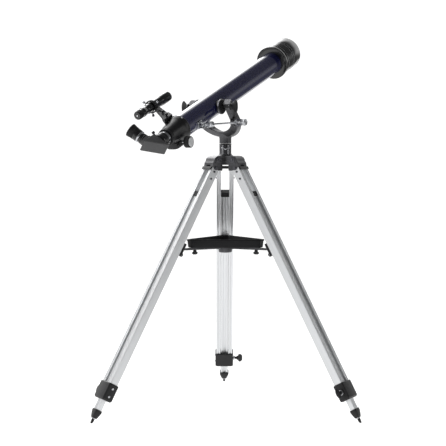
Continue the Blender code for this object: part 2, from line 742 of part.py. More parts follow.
def focuser_body():
    """Tapered rear housing with the pinion box under it."""
    s1 = TUBE_S0 - GAP
    ri = DRAW_R + GAP
    profile = [(ri, HOUSING[0][1])] + list(HOUSING)
    profile += [(HOUSING_R, s1 - 1.0), (HOUSING_R - 1.0, s1), (ri, s1)]
    obj = finish("focuser_body", Shape().lathe(profile, SEG_BIG, ring=True), BORE, "gloss_black")
    wide, long = BOX_SIZE
    box = Shape().loft([rounded(wide - 6.0, long - 6.0, 8.0, BOX_U[0]),
                        rounded(wide, long, 8.0, BOX_U[1]), rounded(wide, long, 8.0, BOX_U[2])])
    frame = TUBE @ Matrix.Translation((0, PINION_S, 0))
    combine(obj, "UNION", "pinion_box", box, frame)
    slot = Shape().lathe([(PINION_R + 0.8, -60.0), (PINION_R + 0.8, 60.0)], SEG_SMALL)
    combine(obj, "DIFFERENCE", "pinion_slot", slot,
            across_frame(TUBE, (0, PINION_S, PINION_U), 1))
    tube_way = Shape().lathe([(ri, HOUSING[0][1] - 10.0), (ri, s1 + 10.0)], SEG_BIG)
    combine(obj, "DIFFERENCE", "draw_way", tube_way, BORE)
    return obj


def drawtube():
    """Sliding chrome tube with the black eyepiece-end collar."""
    ri = DRAW_R - DRAW_WALL
    rear = DRAW_S0 - COLLAR_LEN
    profile = [(ri, rear), (COLLAR_R - 1.0, rear), (COLLAR_R, rear + 2.0),
               (COLLAR_R, DRAW_S0 - 1.0), (COLLAR_R - 1.0, DRAW_S0), (DRAW_R, DRAW_S0 + 0.4),
               (DRAW_R, DRAW_S1), (ri, DRAW_S1)]
    return finish("drawtube", Shape().lathe(profile, SEG_BIG, ring=True), BORE, "chrome")


def focus_shaft():
    frame = across_frame(TUBE, (0, PINION_S, PINION_U), 1)
    half = PINION_HALF
    profile = [(SHAFT_R, -SHAFT_HALF), (SHAFT_R, -half), (PINION_R, 0.2 - half),
               (PINION_R, half - 0.2), (SHAFT_R, half), (SHAFT_R, SHAFT_HALF)]
    return finish("focus_shaft", Shape().lathe(profile, SEG_SMALL), frame, "chrome")


def focus_knob(name, side):
    """Ribbed knob with a dished outer cap; a blind bore takes the shaft."""
    frame = across_frame(TUBE, (0, PINION_S, PINION_U), side)
    k = KNOB_R
    low = KNOB_IN
    top = KNOB_OUT
    bore = SHAFT_R + GAP
    bore_end = SHAFT_HALF + GAP
    profile = [(9.0, low), (k - 1.0, low + 1.0), (k, low + 2.5), (k, top - 1.5), (k - 1.0, top),
               (k - 3.0, top), (k - 3.6, top + 0.6), (5.0, top + 1.0), (1.0, top + 1.0),
               (1.0, bore_end), (bore, bore_end), (bore, low)]
    body = Shape().lathe(profile, SEG_MID)
    return finish(name, body, frame, "black")


def turned(base, angle, point):
    """Frame at point on the tube line, z pointing left of up by the given angle."""
    a = math.radians(angle)
    out = Vector((-math.sin(a), 0, math.cos(a)))
    along = Vector((0, 1, 0))
    return base @ axes(Vector(point), out.cross(along) * -1, along, out)


def diagonal():
    """Mirror box: right-angle prism with a nose tube and an eyepiece socket."""
    frame = turned(TUBE, DIAG_TURN, (0, 0, 0))
    f = DIAG_FACE_S
    up = DIAG_UP
    side = ((f, up), (f, up - DIAG_LEG), (f - 3.0, up - DIAG_LEG), (f - DIAG_LEG, up - 3.0),
            (f - DIAG_LEG, up))
    sections = []
    for x, inset in ((-DIAG_HALF, 1.0), (-DIAG_HALF + 1.0, 0.0), (DIAG_HALF - 1.0, 0.0),
                     (DIAG_HALF, 1.0)):
        mid_y = f - 17.0
        mid_z = up - 17.0
        ring = []
        for y, z in side:
            ring.append(Vector((x, mid_y + (y - mid_y) * (1 - inset / 25.0),
                                mid_z + (z - mid_z) * (1 - inset / 25.0))))
        sections.append(ring)
    obj = finish("star_diagonal", Shape().loft(sections), frame, "casting", (0, EYE_S, 0))
    nose = Shape().lathe([(NOSE_R, f - 4.0), (NOSE_R, f + 30.0)], SEG_MID)
    combine(obj, "UNION", "diagonal_nose", nose, BORE)
    eye = turned(TUBE, DIAG_TURN, (0, EYE_S, 0))
    socket = Shape().lathe([(SOCKET_R, up - 4.0), (SOCKET_R, up + 12.0), (SOCKET_R - 1.0, up + 13.0)],
                           SEG_MID)
    combine(obj, "UNION", "eye_socket", socket, eye)
    way_r = EYE_BARREL_R + GAP
    way = Shape().lathe([(way_r, up - 2.0), (way_r, up + 30.0)], SEG_MID)
    combine(obj, "DIFFERENCE", "eye_way", way, eye)
    return obj


def eyepiece():
    u = DIAG_UP
    frame = turned(TUBE, DIAG_TURN, (0, EYE_S, 0))
    b = EYE_BARREL_R
    profile = [(b, u - 1.0), (b, u + 13.3), (b + 2.4, u + 13.4), (b + 2.4, u + 20.0),
               (b + 4.4, u + 21.5), (b + 4.6, u + 42.0), (b + 6.4, u + 52.0), (b + 6.4, u + 54.6),
               (b + 4.8, u + 55.2), (b + 2.0, u + 50.0), (b - 6.0, u + 49.0)]
    return finish("eyepiece", Shape().lathe(profile, SEG_MID), frame, "black")


def thumb_screw(name, frame, stem, look, head=4.2):
    """Small knurled screw along +z, origin at its foot."""
    profile = [(1.6, 0.0), (1.6, stem), (head - 0.6, stem + 0.3), (head, stem + 1.0),
               (head, stem + 6.0), (head - 0.8, stem + 7.0)]
    return finish(name, Shape().lathe(profile, SEG_SMALL), frame, look)


def draw_screw():
    frame = turned(TUBE, 30.0, (0, DRAW_SCREW_S, 0)) @ Matrix.Translation((0, 0, COLLAR_R + GAP))
    return thumb_screw("drawtube_screw", frame, 4.0, "chrome")


def diagonal_screw():
    a = turned(TUBE, DIAG_TURN, (0, EYE_S, 0))
    frame = a @ Matrix.Translation((0, 0, DIAG_UP + 6.5)) @ Matrix.Rotation(-math.pi / 2, 4, "X")
    frame = frame @ Matrix.Translation((0, 0, SOCKET_R + GAP))
    return thumb_screw("diagonal_screw", frame, 4.0, "black")


def finder_frame():
    """Local z forward along the finder."""
    base = turned(TUBE, FINDER_TURN, (0, 0, 0)) @ Matrix.Translation((0, 0, FINDER_RHO))
    return base @ Matrix.Rotation(-math.pi / 2, 4, "X")


def finder_scope():
    a = FINDER_S0
    b = FINDER_S1
    profile = [(5.0, a), (9.5, a + 1.0), (12.0, a + 5.0), (12.0, a + 20.0), (11.0, a + 22.0),
               (11.0, a + 26.0), (12.6, a + 28.0), (12.6, a + 34.0), (11.4, a + 36.0),
               (11.4, a + 50.0), (13.0, a + 52.0), (13.0, b - 44.0), (14.4, b - 42.0),
               (14.4, b - 3.0), (13.8, b), (12.0, b), (11.6, b - 9.0), (4.0, b - 8.0)]
    return finish("finder_scope", Shape().lathe(profile, SEG_MID), finder_frame(), "gloss_black",
                  (0, 0, FINDER_RING_S))


def finder_bracket():
    """Foot on the housing, leaning slab with a slot, and the ring round the finder."""
    frame = finder_frame()
    s = FINDER_RING_S
    ring = [(RING_RI, s - 5.0), (RING_RO - 0.5, s - 5.0), (RING_RO, s - 4.0), (RING_RO, s + 4.0),
            (RING_RO - 0.5, s + 5.0), (RING_RI, s + 5.0)]
    obj = finish("finder_bracket", Shape().lathe(ring, SEG_MID, ring=True), frame, "casting")
    root = Vector(BRACKET_ROOT)
    far = Vector((-FINDER_RHO * math.sin(math.radians(FINDER_TURN)) + RING_RO - 2.5, s,
                  FINDER_RHO * math.cos(math.radians(FINDER_TURN)) - 5.0))
    slab = Shape()
    loops = []
    for share, width, thick in ((0.0, 42.0, 15.0), (0.26, 38.0, 12.0), (0.34, 30.0, 8.5),
                                (1.0, 20.0, 8.0)):
        mid = root.lerp(far, share)
        loops.append([mid + Vector((0, y * width / 2, z * thick / 2))
                      for y, z in ((1, -1), (1, 1), (-1, 1), (-1, -1))])
    slab.loft(loops)
    combine(obj, "UNION", "bracket_slab", slab, TUBE)
    fit = [(r + GAP, z) for r, z in HOUSING] + [(HOUSING_R + GAP, -150.0)]
    combine(obj, "DIFFERENCE", "bracket_saddle", Shape().lathe(fit, SEG_BIG), BORE)
    slot = Shape().block((16.0, 9.0, 30.0), root.lerp(far, 0.60))
    combine(obj, "DIFFERENCE", "bracket_slot", slot, TUBE)
    return obj


def finder_screws():
    out = []
    for n, angle in enumerate((30.0, 150.0, 270.0)):
        a = math.radians(angle)
        frame = finder_frame() @ Matrix.Translation((0, 0, FINDER_RING_S))
        frame = frame @ Matrix.Rotation(a, 4, "Z") @ Matrix.Rotation(math.pi / 2, 4, "Y")
        frame = frame @ Matrix.Translation((0, 0, RING_RO + GAP))
        out.append(thumb_screw("finder_screw_%d" % (n + 1), frame, 3.0, "chrome", 3.4))
    return out


def build():
    clear_scene()
    for label, angle in zip(LEG_NAMES, LEG_ANGLES):
        frame = leg_frame(angle)
        foot("foot_" + label, frame)
        sliding_leg("inner_leg_" + label, frame)
        rail("rail_a_" + label, frame, -1)
        rail("rail_b_" + label, frame, 1)
        leg_clamp("leg_clamp_" + label, frame)
        leg_lock("leg_lock_" + label, frame)
        leg_cap("leg_cap_" + label, frame)
        brace_clip("brace_clip_" + label, frame)
        tray_nut("tray_nut_" + label, angle)
    hub()
    azimuth_lock()
    spider()
    tray()
    yoke()
    altitude_knob("altitude_knob_right", 1)
    altitude_knob("altitude_knob_left", -1)
    pivot_disc("pivot_disc_right", 1)
    pivot_disc("pivot_disc_left", -1)
    rod_clevis()
    slow_rod()
    fine_nut()
    rod_post()
    rod_lock()
    main_tube()
    dew_cap()
    lens_cell()
    objective_lens()
    focuser_body()
    drawtube()
    focus_shaft()
    focus_knob("focus_knob_right", 1)
    focus_knob("focus_knob_left", -1)
    draw_screw()
    diagonal()
    diagonal_screw()
    eyepiece()
    finder_bracket()
    finder_scope()
    finder_screws()


build()
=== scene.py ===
import math

import bmesh
import bpy
from mathutils import Matrix, Vector


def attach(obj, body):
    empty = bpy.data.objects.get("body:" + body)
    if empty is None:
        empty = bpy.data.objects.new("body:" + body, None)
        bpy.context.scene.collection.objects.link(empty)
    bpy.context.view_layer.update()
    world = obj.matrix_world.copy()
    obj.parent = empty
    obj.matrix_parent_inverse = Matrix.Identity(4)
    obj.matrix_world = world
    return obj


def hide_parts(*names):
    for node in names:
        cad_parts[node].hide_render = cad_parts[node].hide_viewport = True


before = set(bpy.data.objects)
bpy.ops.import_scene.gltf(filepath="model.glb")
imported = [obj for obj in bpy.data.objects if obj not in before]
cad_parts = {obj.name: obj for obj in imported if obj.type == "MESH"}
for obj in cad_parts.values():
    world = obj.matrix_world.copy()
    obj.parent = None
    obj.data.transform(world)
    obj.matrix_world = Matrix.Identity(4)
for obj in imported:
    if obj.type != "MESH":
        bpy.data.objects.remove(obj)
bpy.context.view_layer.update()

# ------------------------------------------------------------ layout, in millimetres
MM = 0.001
AXIS_Y = -35.87
FOOT_R, LEG_TOP_R, LEG_TOP_Z = 423.0, 45.0, 690.0
LEGS = (("far", 90.0), ("left", 210.0), ("right", 330.0))
LEG_W, RAIL_D, RAIL_SCREWS = 50.0, 24.0, (775.0, 753.0)
SLIDE_W, SLIDE_D, SLIDE_TOP = 23.0, 14.0, 708.0
CLAMP_S0, CLAMP_S1, CLAMP_MARGIN = 70.0, 119.0, 13.0
CLIP_S, CLIP_PIN = 524.0, 9.5
HUB_TOP, HUB_WEB, HUB_REACH, HUB_ROUND, HUB_HALF = 725.0, 699.0, 50.0, 11.0, 25.6
PILLAR_R, SEAM_Z, LOCK_Z = 17.0, 760.0, 747.0
NUT_R, ARM_Z0 = 100.0, 459.7
AZIMUTH, ALTITUDE, PIVOT_Z, PIVOT_BACK = 30.0, 20.85, 861.0, 90.0
YOKE_LEAN, YOKE_DROP, YOKE_RI, YOKE_RO = 43.0, 48.0, 45.0, 66.5
YOKE_DEPTH, YOKE_SWELL, YOKE_RISES = 22.0, 14.0, (9, 5, 0, -8, -18, -28, -40)
TUBE_R, TUBE_WALL, TUBE_S0, TUBE_S1 = 32.5, 1.6, -172.0, 414.0
CAP_S0, CAP_S1, CAP_R, CAP_FLANGE_R = 402.0, 510.0, 47.0, 50.5
CAP_LANDS = ((12, 25), (28, 53), (56, 63), (66, 106))
DRAW_R, DRAW_RI, DRAW_S0, DRAW_SCREW_S = 19.0, 16.6, -260.0, -276.0
COLLAR_R, COLLAR_LEN = 21.5, 24.0
RACK_TEETH, RACK_PITCH = 24, 2.4
HOUSING = [(22.5, -246.0), (23.5, -245.0), (23.5, -241.2), (22.9, -240.6), (22.9, -239.4),
           (23.8, -238.6), (25.5, -232.0), (27.6, -220.0), (29.5, -208.0), (31.9, -197.0),
           (34.0, -188.0), (36.0, -184.0)]
PINION_S, PINION_U, KNOB_R = -207.0, -26.5, 15.5
DIAG_TURN, DIAG_UP, DIAG_FACE, DIAG_LEG, DIAG_HALF, EYE_S = 52.0, 21.0, -285.0, 50.0, 17.0, -311.0
EYE_R, SOCKET_R = 12.2, 15.0
FINDER_TURN, FINDER_RHO, FINDER_S0, FINDER_S1, RING_S = 60.0, 106.0, -222.0, -58.0, -146.0
RING_R, BRACKET_ROOT = 18.2, (-13.0, -194.0, 32.5)
POST = (78.0, -62.0, 818.0)
CLEVIS = (42.0, -124.0, -9.0)
SMOOTH = math.radians(32.0)
GAP = 0.3
ROUGH_SPAN = 0.18
BUMP_HEIGHT = 0.0002

# ------------------------------------------------------------ studio, in metres
DIM, SIDE, BOX, RIM, FILL = 0.13, 0.60, 4.4, 0.6, 1.1
BOX_EDGE, BOX_LEFT, SIDE_EDGE = (0.95, 1.35), (-0.12, 0.22), (0.30, 0.80)
RIM_RIGHT, RIM_REAR = (0.80, 0.92), (0.28, 0.46)
FILL_REAR, FILL_TOP, FILL_FOOT = (0.48, 0.62), (-0.74, -0.56), (0.0, 0.25)
SWEEP_X, SWEEP_FRONT, SWEEP_FLAT, SWEEP_BEND, SWEEP_TOP = (-2.6, 2.0), -4.0, 3.0, 2.0, 2.3
SWEEP_STEPS, SWEEP_DROP = 16, 0.0005
PAPER, PAPER_ROUGH, PAPER_GLOW = 0.30, 0.9, 0.96
MIDDLE = (0.0, 0.0, 0.7)
LAMPS = (("key_left", (-2.6, -1.0, 2.6), 40.0, 1.8, 2.4),
         ("right_strip", (2.6, -0.6, 1.2), 12.0, 0.7, 2.6))
CAMERA_AT, CAMERA_DOWN, CAMERA_PAN = (-0.0342, -3.70687, 0.7418), 0.0569, -0.0075
SENSOR_MM, LENS_MM = 36.0, 103.76


# ------------------------------------------------------------ frames
def axes(origin, x, y, z):
    m = Matrix.Identity(4)
    for col, vec in enumerate((x, y, z, origin)):
        for row in range(3):
            m[row][col] = vec[row]
    return m


def move(x, y, z):
    return Matrix.Translation((x, y, z))


def leg_frame(angle):
    """x across the leg, y toward the tripod axis, z up along the leg."""
    a = math.radians(angle)
    rad = Vector((math.cos(a), math.sin(a), 0))
    tan = Vector((-math.sin(a), math.cos(a), 0))
    along = (rad * (LEG_TOP_R - FOOT_R) + Vector((0, 0, LEG_TOP_Z))).normalized()
    return axes(rad * FOOT_R, tan, along.cross(tan), along)


def radial_frame(angle):
    a = math.radians(angle)
    return axes(Vector(), Vector((math.cos(a), math.sin(a), 0)),
                Vector((-math.sin(a), math.cos(a), 0)), Vector((0, 0, 1)))


def across(base, point, side=1):
    """z points out along the base's x, on the given side."""
    return base @ Matrix.Translation(point) @ Matrix.Rotation(side * math.pi / 2, 4, "Y")


def aim(origin, direction, hint=(0, 0, 1)):
    z = Vector(direction).normalized()
    x = Vector(hint).cross(z).normalized()
    return axes(Vector(origin), x, z.cross(x), z)


def turned(base, angle, point):
    a = math.radians(angle)
    out = Vector((-math.sin(a), 0, math.cos(a)))
    along = Vector((0, 1, 0))
    return base @ axes(Vector(point), out.cross(along) * -1, along, out)


FLAT = Matrix.Identity(4)
HEAD = Matrix.Rotation(-math.radians(AZIMUTH), 4, "Z")
TUBE = HEAD @ move(0, -PIVOT_BACK, PIVOT_Z) @ Matrix.Rotation(math.radians(ALTITUDE), 4, "X")
BORE = TUBE @ Matrix.Rotation(-math.pi / 2, 4, "X")
EYE = turned(TUBE, DIAG_TURN, (0, EYE_S, 0))
FINDER = turned(TUBE, FINDER_TURN, (0, 0, 0)) @ move(0, 0, FINDER_RHO)
FINDER = FINDER @ Matrix.Rotation(-math.pi / 2, 4, "X")
ROD = aim(TUBE @ Vector(CLEVIS), HEAD @ Vector(POST) - TUBE @ Vector(CLEVIS))
ROD_LENGTH = (HEAD @ Vector(POST) - TUBE @ Vector(CLEVIS)).length


# ------------------------------------------------------------ materials
def material(name, colour, metallic, rough, **k):
    """Procedural finish: large tone drift, fine roughness break-up and a fine bump."""
    m = bpy.data.materials.new(name)
    m.use_nodes = True
    nt = m.node_tree
    bsdf = nt.nodes["Principled BSDF"]
    bsdf.inputs["Metallic"].default_value = metallic
    bsdf.inputs["Specular IOR Level"].default_value = k.get("specular", 0.5)
    bsdf.inputs["Coat Weight"].default_value = k.get("coat", 0.0)
    bsdf.inputs["Coat Roughness"].default_value = k.get("coat_rough", 0.05)
    bsdf.inputs["Transmission Weight"].default_value = k.get("transmission", 0.0)
    coords = nt.nodes.new("ShaderNodeTexCoord")
    mapping = nt.nodes.new("ShaderNodeMapping")
    mapping.vector_type = "TEXTURE"
    mapping.inputs["Rotation"].default_value = k.get("rotation", (0, 0, 0))
    mapping.inputs["Scale"].default_value = k.get("stretch", (1, 1, 1))
    nt.links.new(coords.outputs["Object"], mapping.inputs["Vector"])

    def noise(scale, detail):
        n = nt.nodes.new("ShaderNodeTexNoise")
        n.inputs["Scale"].default_value = scale
        n.inputs["Detail"].default_value = detail
        nt.links.new(mapping.outputs["Vector"], n.inputs["Vector"])
        return n

    def ramp(source, low, high):
        r = nt.nodes.new("ShaderNodeValToRGB")
        r.color_ramp.elements[0].position = 0.3
        r.color_ramp.elements[1].position = 0.7
        r.color_ramp.elements[0].color = low
        r.color_ramp.elements[1].color = high
        nt.links.new(source.outputs["Fac"], r.inputs["Fac"])
        return r

    vary = k.get("vary", 0.12)
    low = [c * (1 - vary) for c in colour] + [1]
    high = [min(1.0, c * (1 + vary)) for c in colour] + [1]
    tone = ramp(noise(k.get("drift", 35.0), 4.0), low, high)
    nt.links.new(tone.outputs["Color"], bsdf.inputs["Base Color"])
    a = rough * (1 - ROUGH_SPAN)
    b = min(1.0, rough * (1 + ROUGH_SPAN))
    grain = noise(k.get("grain", 600.0), 3.0)
    breakup = ramp(grain, (a, a, a, 1), (b, b, b, 1))
    nt.links.new(breakup.outputs["Color"], bsdf.inputs["Roughness"])
    bump = nt.nodes.new("ShaderNodeBump")
    bump.inputs["Strength"].default_value = k.get("bump", 0.15)
    bump.inputs["Distance"].default_value = BUMP_HEIGHT
    nt.links.new(grain.outputs["Fac"], bump.inputs["Height"])
    nt.links.new(bump.outputs["Normal"], bsdf.inputs["Normal"])
    return m


LOOKS = {
    "navy": (material("navy enamel", (0.007, 0.008, 0.048), 0.0, 0.24, specular=0.35, coat=0.8,
                      coat_rough=0.04, bump=0.04, grain=260.0, vary=0.10), "navy"),
    "gloss": (material("gloss black", (0.006, 0.006, 0.007), 0.0, 0.18, coat=0.5, specular=0.4,
                       bump=0.05, vary=0.15), "gloss_black"),
    "satin": (material("satin black casting", (0.008, 0.008, 0.009), 0.0, 0.34, bump=0.12,
                       specular=0.35, grain=700.0), "gloss_black"),
    "black": (material("moulded black", (0.007, 0.007, 0.008), 0.0, 0.44, bump=0.22,
                       specular=0.35, grain=1100.0), "black"),
    "rubber": (material("ribbed black", (0.008, 0.008, 0.009), 0.0, 0.60, bump=0.3,
                        specular=0.3, grain=1500.0), "black"),
    "tray": (material("matt tray black", (0.006, 0.006, 0.007), 0.0, 0.62, bump=0.22,
                      specular=0.22, grain=1100.0), "black"),
    "eye": (material("polished eyepiece black", (0.006, 0.006, 0.007), 0.0, 0.22, coat=0.4,
                     bump=0.06), "black"),
    "gunmetal": (material("blackened screw", (0.14, 0.14, 0.15), 0.9, 0.35, bump=0.2), "black"),
    "casting": (material("powder coated casting", (0.085, 0.085, 0.09), 0.8, 0.40, bump=0.5,
                         specular=0.4, grain=1300.0, vary=0.2), "casting"),
    "dull": (material("dark casting", (0.010, 0.010, 0.011), 0.0, 0.52, bump=0.3,
                      specular=0.25, grain=1200.0), "casting"),
    "prism": (material("diagonal housing", (0.050, 0.050, 0.052), 0.0, 0.50, bump=0.25,
                       grain=1400.0), "casting"),
    "chrome": (material("plated chrome", (0.50, 0.51, 0.53), 1.0, 0.16, bump=0.03, vary=0.06,
                        drift=90.0), "chrome"),
    "bright": (material("turned knob face", (0.74, 0.75, 0.76), 0.8, 0.32, bump=0.08), "chrome"),
    "dark": (material("dark oxide screw", (0.10, 0.10, 0.11), 0.9, 0.38, bump=0.2), "chrome"),
    "zinc": (material("zinc plated steel", (0.62, 0.63, 0.65), 1.0, 0.30, bump=0.1), "aluminium"),
    "glass": (material("coated glass", (0.62, 0.85, 0.80), 0.0, 0.03, transmission=1.0,
                       coat=0.5, bump=0.0, vary=0.02), "lens"),
    "white": (material("lit exit lens", (0.75, 0.77, 0.78), 0.0, 0.10, coat=0.6), "lens"),
}
for leg, angle in LEGS:
    lie = leg_frame(angle).to_euler()
    brushed = material("satin aluminium " + leg, (0.69, 0.70, 0.71), 1.0, 0.42, bump=0.10,
                       grain=900.0, vary=0.05, drift=60.0, rotation=tuple(lie),
                       stretch=(1, 1, 40))
    LOOKS["alu_" + leg] = (brushed, "aluminium")


# ------------------------------------------------------------ shape tools
def finish(name, bm, body, look, bevel=0.0, stands_for=()):
    bmesh.ops.recalc_face_normals(bm, faces=bm.faces)
    mesh = bpy.data.meshes.new(name)
    bm.to_mesh(mesh)
    bm.free()
    mesh.shade_smooth()
    mesh.set_sharp_from_angle(angle=SMOOTH)
    obj = bpy.data.objects.new(name, mesh)
    bpy.context.scene.collection.objects.link(obj)
    mat, slot = LOOKS[look]
    mesh.materials.append(mat)
    if bevel:
        mod = obj.modifiers.new("edges", "BEVEL")
        mod.width = bevel * MM
        mod.segments = 2
        mod.limit_method = "ANGLE"
        mod.angle_limit = SMOOTH
        mod.harden_normals = True
    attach(obj, body)
    if stands_for:
        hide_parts(*stands_for)
    return obj


def put(at, p):
    return (Matrix.Translation((0, AXIS_Y, 0)) @ at @ Vector(p)) * MM


def loft(name, rings, at, body, look, closed=False, **k):
    bm = bmesh.new()
    rows = [[bm.verts.new(put(at, p)) for p in ring] for ring in rings]
    count = len(rows[0])
    last = len(rows) if closed else len(rows) - 1
    for i in range(last):
        low = rows[i]
        high = rows[(i + 1) % len(rows)]
        for j in range(count):
            n = (j + 1) % count
            bm.faces.new((low[j], low[n], high[n], high[j]))
    if not closed:
        bm.faces.new(rows[0])
        bm.faces.new(rows[-1])
    return finish(name, bm, body, look, **k)


def lathe(name, profile, at, body, look, seg=72, closed=False, ribs=None, **k):
    """ribs = (count, depth, first row, last row): flutes cut in those rows."""
    rings = []
    for i, (radius, z) in enumerate(profile):
        ring = []
        for j in range(seg):
            a = 2 * math.pi * j / seg
            r = radius
            if ribs and ribs[2] <= i <= ribs[3]:
                r -= ribs[1] * (0.5 - 0.5 * math.cos(a * ribs[0]))
            ring.append((r * math.cos(a), r * math.sin(a), z))
        rings.append(ring)
    return loft(name, rings, at, body, look, closed=closed, **k)


def block(name, size, centre, at, body, look, bevel=0.5, **k):
    x, y, z = (s / 2 for s in size)
    cx, cy, cz = centre
    rings = [[(cx + i * x, cy + j * y, cz + h * z) for i, j in
              ((-1, -1), (1, -1), (1, 1), (-1, 1))] for h in (-1, 1)]
    return loft(name, rings, at, body, look, bevel=bevel, **k)


def oval(half_x, half_y, z, seg=40):
    return [(half_x * math.cos(2 * math.pi * j / seg), half_y * math.sin(2 * math.pi * j / seg), z)
            for j in range(seg)]


def refine(node, body, look, bevel=0.6):
    """The CAD piece's own form, with its flats joined and its edges eased."""
    bm = bmesh.new()
    bm.from_mesh(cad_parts[node].data)
    bmesh.ops.remove_doubles(bm, verts=bm.verts, dist=1e-5)
    bmesh.ops.dissolve_limit(bm, angle_limit=math.radians(1.0), verts=bm.verts, edges=bm.edges)
    return finish(node + "_fine", bm, body, look, bevel=bevel, stands_for=(node,))


def screw(name, at, radius, body, look="dark"):
    """Pan head with a socket recess, z out of the surface."""
    r = radius
    profile = [(r, 0.0), (r, r * 0.35), (r * 0.85, r * 0.62), (r * 0.55, r * 0.75),
               (r * 0.42, r * 0.75), (r * 0.36, r * 0.30)]
    return lathe(name, profile, at, body, look, seg=24)


def thumb(name, at, stem, head, body, look, stands_for=()):
    """Knurled thumb screw on a plain stem."""
    profile = [(1.6, 0.0), (1.6, stem), (head - 0.7, stem + 0.2), (head, stem + 0.9),
               (head, stem + 6.0), (head - 0.7, stem + 6.8), (head * 0.5, stem + 7.0)]
    return lathe(name, profile, at, body, look, seg=120, ribs=(20, 0.5, 3, 4),
                 stands_for=stands_for)


def wing(name, at, stem_r, stem, collar, half_w, half_t, reach, body, look, stands_for=()):
    """Wing bolt: stem, collar and a smooth oval paddle."""
    rings = [oval(stem_r, stem_r, 0), oval(stem_r, stem_r, stem - 4),
             oval(collar, collar, stem - 3.8), oval(collar, collar, stem)]
    stages = 10
    for i in range(1, stages + 1):
        t = i / stages
        spread = math.sin(math.pi * (0.18 + 0.72 * t)) ** 0.6
        rings.append(oval(max(half_w * spread, half_w * 0.5), half_t * (1.25 - 0.5 * t),
                          stem + reach * t))
    return loft(name, rings, at, body, look, bevel=0.5, stands_for=stands_for)


# ------------------------------------------------------------ tripod
def hub():
    """Three lobes with rounded shoulders, a cheek pair on each, and the pillar neck."""
    shoulder = [(0.0, HUB_WEB), (HUB_REACH + 5.0, HUB_WEB), (HUB_REACH + 5.0, 705.0)]
    for i in range(9):
        a = math.radians(11.25 * i)
        shoulder.append((HUB_REACH - 6.5 - HUB_ROUND + (HUB_ROUND + 7.0) * math.cos(a),
                         HUB_TOP - 14.0 + 14.0 * math.sin(a)))
    shoulder.append((0.0, HUB_TOP))
    cheek = [(24.0, 702.0), (54.9, 702.0), (56.3, 694.4), (52.0, 688.0), (44.0, 684.4),
             (35.0, 682.7), (24.0, 682.7)]
    for leg, angle in LEGS:
        spoke = radial_frame(angle)
        stands = ("tripod_hub",) if leg == "far" else ()
        loft("hub_lobe_" + leg, [[(x, y, z) for x, z in shoulder] for y in (-HUB_HALF, HUB_HALF)],
             spoke, "tripod", "casting", bevel=1.8, stands_for=stands)
        for sign in (-1, 1):
            walls = [[(x, sign * y, z) for x, z in cheek] for y in (10.0, 25.7)]
            loft("hub_cheek_%s_%d" % (leg, sign + 1), walls, spoke, "tripod", "casting",
                 bevel=1.2)
            web_wall = [[(x, sign * y, z) for x, z in ((12.0, 712.0), (44.0, 712.0),
                         (48.0, 704.0), (12.0, 704.0))] for y in (25.0, 27.0)]
            loft("hub_web_%s_%d" % (leg, sign + 1), web_wall, spoke, "tripod", "casting",
                 bevel=0.7)
            boss = spoke @ move(36.0, sign * HUB_HALF, 713.0)
            boss = boss @ Matrix.Rotation(-sign * math.pi / 2, 4, "X")
            lathe("hub_boss_%s_%d" % (leg, sign + 1), [(8.2, 0.0), (8.2, 1.6), (7.4, 2.4),
                  (6.0, 2.4), (5.6, 1.7), (4.0, 1.7), (3.6, 3.0), (2.6, 3.4)], boss, "tripod",
                  "dark", seg=48)
    lathe("hub_neck", [(24.0, 712.0), (24.0, HUB_TOP - 0.5), (PILLAR_R + 4.0, HUB_TOP + 1.5),
          (PILLAR_R + 1.6, HUB_TOP + 3.5), (PILLAR_R, HUB_TOP + 7.0), (PILLAR_R, SEAM_Z - GAP)],
          FLAT, "tripod", "casting", seg=96)


